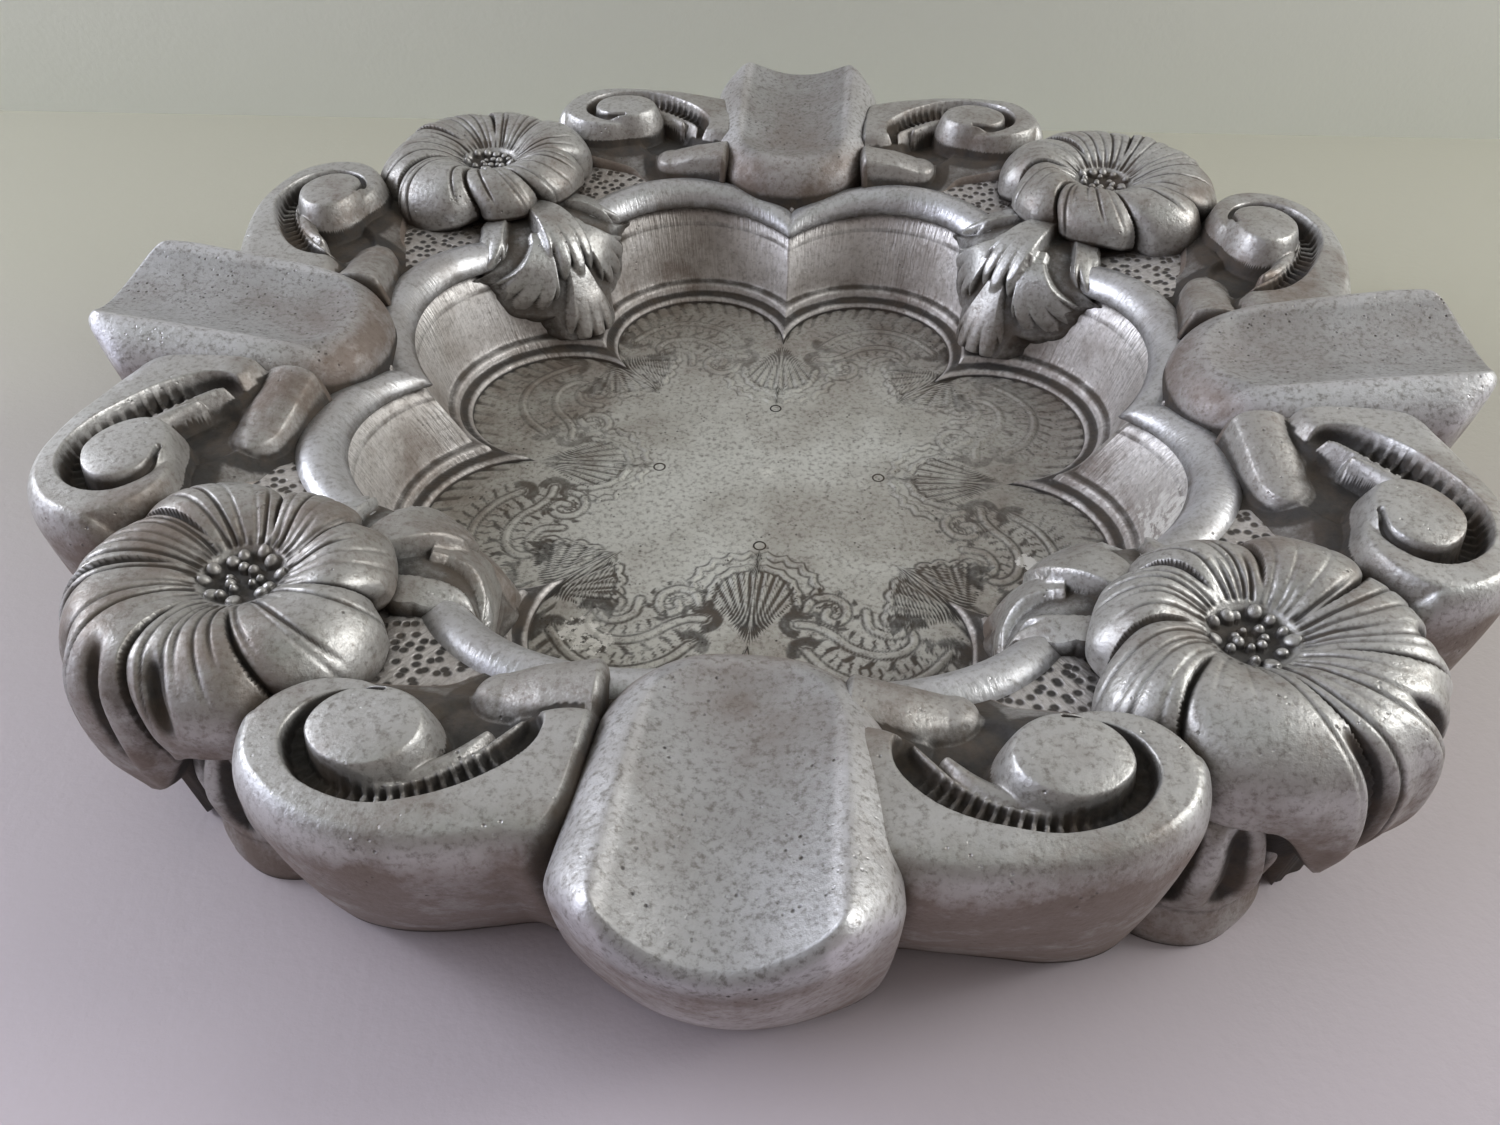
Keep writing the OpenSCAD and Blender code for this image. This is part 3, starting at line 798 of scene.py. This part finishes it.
def build_blossom(name, degrees, lean, seed):
    """A blossom on its diagonal, whose hanging side is turned by lean, in radians."""
    r = np.random.default_rng(seed)
    n, m = 480, 130
    phi = np.arange(n) * TAU / n  # 0 points away from the tray's centre
    w_out, w_in = smooth(0.52, 0.98, np.cos(phi - lean)), smooth(0.0, -0.85, np.cos(phi))
    shares = (w_in, 1 - w_in - w_out, w_out)
    sec = sum(spline(THROAT + p, m, even=False)[:, None] * w[None, :, None] for p, w in zip(PETAL, shares))
    rad, z = sec[..., 0].copy(), sec[..., 1].copy()
    s = np.linspace(0, 1, m)[:, None]
    # the petals' edges, which swirl a little as they go out
    count = 7
    bounds = (np.arange(count) + 0.5 + r.uniform(-0.12, 0.12, count)) * TAU / count
    turned = (phi[None] - 0.35 * smooth(0.3, 1.0, s) + 0.25) % TAU
    k = np.searchsorted(bounds, turned.ravel()).reshape(turned.shape) % count
    lo = bounds[(k - 1) % count]
    width = (bounds[k] - lo) % TAU
    p = ((turned - lo) % TAU) / width  # place across the petal
    past, before = p * width * rad, (1 - p) * width * rad  # mm from its two edges
    open_ = smooth(0.38, 0.60, s)
    crown = 0.75 * (1 - (2 * p - 1) ** 4) * open_ * (1 - 0.5 * w_out)
    lap = 0.65 * p**1.5 * open_ * (1 - 0.4 * w_out)
    cleft = 0.8 * np.exp(-((past / 0.5) ** 2)) * open_
    # thin lines that run out from the throat and die away
    veins = np.zeros(p.shape)
    for j in range(5):
        at = (j + 1) / 6 + r.uniform(-0.05, 0.05, count)[k]
        reach = r.uniform(0.55, 1.15, count)[k]
        deep = r.uniform(0.12, 0.36, count)[k]
        d = np.abs(p - at) * width * rad
        line = deep * np.exp(-((d / 0.26) ** 2)) * smooth(0.27, 0.33, s) * smooth(reach, reach - 0.20, s)
        veins = np.maximum(veins, line)
    # folds of the side that hangs: shallow waves, and a few deep ones
    hang = smooth(0.60, 0.8, s) * w_out
    folds = (0.50 * np.sin(11 * turned + r.uniform(0, TAU)) + 0.28 * np.sin(23 * turned)) * hang
    slot = np.zeros(p.shape)
    span = smooth(0.60, 0.72, s) * smooth(0.96, 0.80, s)
    for at in (r.uniform(-0.7, -0.3), r.uniform(0.0, 0.3), r.uniform(0.6, 0.9)):
        d = np.abs((turned - at + math.pi) % TAU - math.pi) * rad
        slot = np.maximum(slot, 1.5 * np.exp(-((d / 0.9) ** 2)) * span)
    uneven = wobble(rad * np.cos(phi), rad * np.sin(phi) + 0.6 * z, seed, 12, 0.3) * open_
    rise = crown + lap - cleft - veins + folds - slot + uneven - 0.6
    dr, dz = np.gradient(rad, axis=0), np.gradient(z, axis=0)
    ln = np.hypot(dr, dz) + 1e-9
    notch = np.minimum(np.exp(-((before / 2.2) ** 2)) + np.exp(-((past / 1.6) ** 2)), 1)
    notch = notch * smooth(0.62, 0.95, s)
    step = np.stack([-dz / ln * rise - 1.8 * notch * (1 - w_out), dr / ln * rise + 0.9 * notch * w_out])
    rad, z = rad + step[0], np.minimum(z + step[1], 34.6)
    # stamens round a dark centre
    x, y = rad * np.cos(phi), rad * np.sin(phi)
    blob = np.zeros(x.shape)
    for i in range(19):
        ring = i < 12
        a = (i + r.uniform(-0.35, 0.35)) * TAU / (12 if ring else 7)
        if ring:
            q, size = r.uniform(3.1, 4.2), r.uniform(0.6, 0.95)
        else:
            q, size = r.uniform(0.9, 2.3), r.uniform(0.5, 0.75)
        d = np.hypot(x - q * math.cos(a), y - q * math.sin(a)) / size
        blob = np.maximum(blob, r.uniform(0.8, 1.3) * np.sqrt(np.maximum(1 - d**2, 0)))
    z = z + blob
    # dark in the clefts, veins and slots, with painted shade in the troughs of the folds
    cav = np.maximum(cleft / 0.9, 1.5 * veins) + slot / 1.4 + 0.45 * smooth(0.25, -0.5, folds)
    cav = np.maximum(cav, smooth(0.27, 0.17, s) * (1 - np.clip(blob * 1.2, 0, 0.9)))
    rays = 0.6 * smooth(0.26, 0.31, s) * smooth(0.42, 0.34, s) * (0.5 + 0.5 * np.cos(TAU * p * 5))
    cav = np.maximum(cav, rays)
    rows, cavs = [np.stack([x, y, z], -1)], [np.clip(cav, 0, 1)]
    # under the edge, darkened there with painted shade, and down to the table or the ground
    low = 21.0 * w_in + 17.0 * shares[1]
    for back, down, c in ((0.5, 0.8, 0.3), (1.6, 1.1, 0.8), (3.2, 1.2, 1.0), (3.8, 40, 0.8),
                          (6.5, 40, 0.8)):
        ring = rad[-1] - back
        height = np.maximum(z[-1] - down, low)
        rows.append(np.stack([ring * np.cos(phi), ring * np.sin(phi), height], -1)[None])
        cavs.append(np.full((1, n), c))
    rings = np.vstack(rows)
    rings[..., 0] += BLOSSOM_AT
    verts, faces = rings_mesh(rings, [BLOSSOM_AT, 0, 29.2], [BLOSSOM_AT, 0, 10.0])
    cav = np.concatenate([np.vstack(cavs).ravel(), [1.0, 0.5]])
    # browner and darker lower down: tarnish and painted shade
    tan = 0.15 + 0.8 * smooth(28, 15, verts[:, 2])
    verts[:, :2] = turn(verts[:, :2], degrees)
    return mesh(f"{name}_cast", verts, flipped(faces), ORNAMENT, [name], "ornament", cav=cav, tan=tan,
                flow=verts)


# ---------------------------------------------------------------- leaf sprays


# A spray's leaves: where each one starts, its direction in degrees from the spray's line, its length,
# half-width and height, in the order in which they lie over each other.
LEAVES = [((0.0, 12.0), 0, 15.5, 6.4, 2.4), ((-4.5, 7.5), -30, 12.5, 5.6, 2.7),
          ((4.5, 7.5), 30, 12.5, 5.6, 2.7),
          ((-6.5, -1.0), -62, 11.5, 5.4, 3.0), ((6.5, -1.0), 62, 11.5, 5.4, 3.0),
          ((0.0, 0.0), 0, 15.0, 6.4, 3.6)]


def spray_relief(xy):
    """Height and darkness of a leaf spray laid flat: each leaf is a fan of rounded fingers."""
    h = np.full(xy.shape[:-1], 1.9)
    dark = np.full(h.shape, 0.5)
    for base, way, length, wide, high in LEAVES:
        q = turn(xy - np.array(base), way)
        a, b = q[..., 0], q[..., 1]
        t = b / length
        fan = a / (wide * (0.30 + 0.80 * np.clip(t, 0, 1)))  # -1 to 1 across the leaf
        finger = np.abs(np.cos(math.pi * 2.0 * fan + 0.5 * np.sin(3.0 * t + base[0])))
        tip = 1.0 - 0.34 * fan**2 - 0.16 * (1 - finger) ** 1.5
        inside = (t > -0.15) & (t < tip) & (np.abs(fan) < 1.04)
        ends, sides = np.clip((tip - t) / 0.16, 0, 1), np.clip((1.04 - np.abs(fan)) / 0.22, 0, 1)
        round_off = np.sqrt(ends) * np.sqrt(sides)
        bump = high * round_off * (0.75 + 0.25 * np.sin(math.pi * np.clip(t, 0, 1) ** 0.8))
        bump = bump - 0.55 * (1 - finger) ** 2 * smooth(0.35, 0.8, t) * round_off
        over = inside & (bump + 0.9 > h)
        shade = np.maximum(0.5 * (1 - finger) ** 3 * smooth(0.4, 0.8, t), 0.9 * (1 - round_off) ** 2)
        dark = np.where(over, shade, dark)
        h = np.where(over, bump + 0.9, h)
    return h, np.clip(dark, 0, 1)


def build_spray(name, degrees, seed):
    """A leaf spray, bent over the rim at a cusp and down the wall of the well."""
    n, rows = 320, 60
    half = [(3.0, -3.0), (9.0, -1.0), (13.2, 4.4), (14.6, 10.2), (11.8, 13.0), (10.8, 17.8), (8.4, 19.0),
            (5.6, 19.6),
            (4.6, 23.6), (2.2, 27.0)]
    outline = spline(half + [(0.0, 28.2)] + [(-a, b) for a, b in half[::-1]], n, True)
    nn = normals2(outline)
    k = np.arange(n) / n
    outline = outline + nn * (0.3 * np.abs(np.sin(k * math.pi * 34)))[:, None]
    top = lambda xy: spray_relief(xy)[0] + wobble(xy[..., 0], xy[..., 1], seed, 7, 0.2)
    rings, first, last = pad(np.array([0.0, 9.0]), outline, top, 0.7, 1.2, outline + nn * 3.4, -5.5, rows)
    verts, faces = rings_mesh(rings, first, last)
    cav = np.where(np.arange(len(verts)) < rows * n, spray_relief(verts[:, :2])[1], 0.45)
    # the flat pattern bends over the rim and down the cusp
    a, b, h = verts.T
    line = spline([(68.5, 22.6), (64.0, 22.8), (59.5, 22.2), (56.2, 20.2), (54.0, 17.2), (52.0, 13.0),
                   (50.4, 9.4),
                   (49.4, 6.6)], 200)
    s = np.concatenate([[0], np.cumsum(np.linalg.norm(np.diff(line, axis=0), axis=1))])
    want = np.clip(b + 4.0, 0, s[-1])
    cr, cz = np.interp(want, s, line[:, 0]), np.interp(want, s, line[:, 1])
    tr = np.interp(want, s, np.gradient(line[:, 0], s))
    tz = np.interp(want, s, np.gradient(line[:, 1], s))
    size = np.hypot(tr, tz)
    sag = (0.035 + 0.03 * smooth(8, 20, b)) * a * a
    rr = cr + tz / size * h + sag * (0.25 + 0.75 * smooth(4, 12, b))
    zz = cz - tr / size * h - 0.020 * a * a * smooth(14, 4, b)
    ang = a / np.maximum(cr, 30)
    out = turn(np.stack([rr * np.cos(ang), rr * np.sin(ang)], -1), degrees)
    out = np.column_stack([out, zz])
    # browner and darker lower down: tarnish and painted shade
    return mesh(f"{name}_cast", out, flipped(faces), ORNAMENT, [name], "ornament", cav=cav,
                tan=0.5 * smooth(20, 10, zz), flow=out)


# ---------------------------------------------------------------- outer leaves


def build_outer_leaf(name, degrees, flip, seed):
    """A ribbed leaf that stands between a scroll and a blossom, on a plain foot."""
    n = 260
    phi = np.arange(n) * TAU / n  # 0 points outward
    ribs = (0.5 + 0.5 * np.cos(phi * 360 / 42)) ** 0.6
    front = smooth(0.0, 0.45, np.cos(phi))
    side = spline([(2.0, 20.5), (5.6, 19.8), (7.6, 17.0), (8.8, 12.5), (8.6, 8.5), (8.0, 6.2), (8.6, 4.0),
                   (8.9, 2.0), (8.6, 0.0)], 60)
    rad, z = side[:, 0, None], side[:, 1, None] + 0 * phi
    slots = smooth(6.4, 9.0, z) * smooth(20.2, 16.5, z) * (1 - ribs) * front
    rad = rad - 1.9 * slots + wobble(8 * phi, z, seed, 10, 0.2)
    rings = np.stack([rad * np.cos(phi), 1.15 * rad * np.sin(phi), z], -1)
    verts, faces = rings_mesh(rings, [0, 0, 20.5], [0, 0, 0])
    seam = 0.4 * smooth(0.9, 0.2, np.abs(z - 6.2))
    cav = np.concatenate([np.clip(1.3 * slots + seam, 0, 1).ravel(), [0.5, 0.3]])
    verts[:, 0] += 84.4
    verts[:, :2] = turn(verts[:, :2], 90 - 38.0)
    if flip:
        verts[:, 0] *= -1
    verts[:, :2] = turn(verts[:, :2], degrees)
    faces = faces if flip else flipped(faces)
    # browner and darker lower down: tarnish and painted shade
    tan = 0.8 * smooth(14, 5, verts[:, 2])
    return mesh(f"{name}_cast", verts, faces, ORNAMENT, [name], "ornament", cav=cav, tan=tan, flow=verts)


# ---------------------------------------------------------------- run

build_body()
build_moulding()
build_floor()
build_pins()
# how far each rest stands off its axis, as the castings do, and how far its scrolls spread
SHIFT = {"back": -0.8, "left": 1.0, "front": -2.4, "right": -1.0}
SPREAD = {"left": (3.0, 1.3), "right": (3.0, 1.3), "front_b": (0.3, -2.0)}
# how far each blossom's hanging side turns from its diagonal, in radians
LEAN = {"back_right": 0, "back_left": 0, "front_left": -0.22, "front_right": 0.22}
for i, side in enumerate(("back", "left", "front", "right")):
    build_rest(f"rest_{side}", i * 90, SHIFT[side], 30 + i)
    for flip, letter in enumerate("ab"):
        stretch = SPREAD.get(f"{side}_{letter}", SPREAD.get(side, (0.0, 0.0)))
        build_scroll(f"scroll_{side}_{letter}", i * 90, flip, stretch, 50 + 2 * i + flip)
        build_outer_leaf(f"outer_leaf_{side}_{letter}", i * 90, flip, 70 + 2 * i + flip)
for i, corner in enumerate(("back_right", "back_left", "front_left", "front_right")):
    build_blossom(f"blossom_{corner}", 45 + i * 90, LEAN[corner], 90 + i)
    build_spray(f"leaf_spray_{corner}", 45 + i * 90, 110 + i)

# ---------------------------------------------------------------- stage, camera, lights


def staged(name, corners, colour_near, colour_far, near, far, axis, see_through=False):
    """A plain sheet of the surroundings, whose colour goes from one to another along an axis: painted light
    and shade, as the light falls across it.
    """
    me = bpy.data.meshes.new(name)
    me.from_pydata(corners, [], [(0, 1, 2, 3)])
    ob = bpy.data.objects.new(name, me)
    bpy.context.scene.collection.objects.link(ob)
    m, nt = nodes_of(name + "_paint")
    t = Tree(nt)
    place = t.add("SeparateXYZ")
    t.put(place, 0, t.add("TexCoord").outputs["Object"])
    b = t.add("BsdfPrincipled")
    blend = t.ramp(place.outputs[axis], near, far)
    t.put(b, "Base Color", t.mix(blend, (*colour_near, 1), (*colour_far, 1)))
    b.inputs["Roughness"].default_value = 0.65
    bump = t.add("Bump")
    t.put(bump, "Strength", 0.25)
    t.put(bump, "Distance", 0.3 * MM)
    t.put(bump, "Height", t.noise(t.add("TexCoord").outputs["Object"], 700, 3, 0.6))
    nt.links.new(bump.outputs[0], b.inputs["Normal"])
    result = b.outputs[0]
    if see_through:
        mixer = t.add("MixShader")
        nt.links.new(t.add("NewGeometry").outputs["Backfacing"], mixer.inputs[0])
        nt.links.new(result, mixer.inputs[1])
        nt.links.new(t.add("BsdfTransparent").outputs[0], mixer.inputs[2])
        result = mixer.outputs[0]
    nt.links.new(result, t.add("OutputMaterial").inputs[0])
    me.materials.append(m)


SHEET = 1.6  # half the width of a sheet, in metres
WALL_AT = 0.149
WALL_LEAN = 0.030  # the wall isn't quite square to the dish
left, right = WALL_AT - WALL_LEAN * SHEET, WALL_AT + WALL_LEAN * SHEET
# painted light and shade: the table goes from lighter and pinker at the front to darker and yellower at the
# back
staged("table", [(-SHEET, -SHEET, 0), (SHEET, -SHEET, 0), (SHEET, SHEET, 0), (-SHEET, SHEET, 0)],
       (0.67, 0.60, 0.66), (0.49, 0.48, 0.40), -0.12, 0.08, 1)
# painted light: the wall grows lighter upward
staged("back_wall", [(SHEET, right, 0), (SHEET, right, SHEET), (-SHEET, left, SHEET), (-SHEET, left, 0)],
       (0.86, 0.89, 0.82), (0.96, 0.98, 0.92), 0.0, 0.10, 2, True)

cam = bpy.data.objects.new("camera", bpy.data.cameras.new("camera"))
cam.location = (9.435 * MM, -142.387 * MM, 117.539 * MM)
cam.rotation_euler = [math.radians(a) for a in (46.937, 0.152, 4.843)]
cam.data.lens = 27.176
cam.data.sensor_width = 36
cam.data.clip_start = 0.005
bpy.context.scene.collection.objects.link(cam)
bpy.context.scene.camera = cam
bpy.context.scene.view_settings.view_transform = "Standard"


def studio():
    """Soft light from all round: pale above, a window to the left, and a dim room in front."""
    world = bpy.data.worlds.new("studio")
    bpy.context.scene.world = world
    world.use_nodes = True
    world.node_tree.nodes.clear()
    t = Tree(world.node_tree)
    way = t.add("SeparateXYZ")
    t.put(way, 0, t.add("TexCoord").outputs["Generated"])
    x, y, z = way.outputs
    c = t.mix(t.ramp(z, 0.0, 0.95), (0.78, 0.80, 0.80, 1), (0.50, 0.53, 0.48, 1))
    c = t.mix(t.ramp(t.math("MULTIPLY", x, -1.0), 0.45, 0.92), c, (2.7, 2.8, 3.35, 1))
    c = t.mix(t.ramp(x, 0.45, 0.90), c, (1.15, 1.15, 1.15, 1))
    c = t.mix(t.ramp(t.math("MULTIPLY", y, -1.0), 0.15, 0.75), c, (0.22, 0.18, 0.165, 1))
    back = t.add("Background")
    t.put(back, 0, c)
    back.inputs[1].default_value = 0.78
    t.put(t.add("OutputWorld"), 0, back.outputs[0])


studio()


def area(name, place, aim, size, power, colour):
    """A rectangular lamp, in metres and watts."""
    data = bpy.data.lights.new(name, "AREA")
    data.shape = "RECTANGLE"
    data.size, data.size_y = size
    data.energy = power
    data.color = colour
    ob = bpy.data.objects.new(name, data)
    ob.location = place
    ob.rotation_euler = (Vector(aim) - Vector(place)).to_track_quat("-Z", "Y").to_euler()
    bpy.context.scene.collection.objects.link(ob)


area("window_left", (-0.55, 0.10, 0.30), (0, 0, 0), (0.25, 0.22), 2.2, (0.88, 0.91, 1.0))
area("window_right", (0.60, 0.05, 0.40), (0, 0, 0), (0.25, 0.35), 2.0, (1.0, 1.0, 0.98))
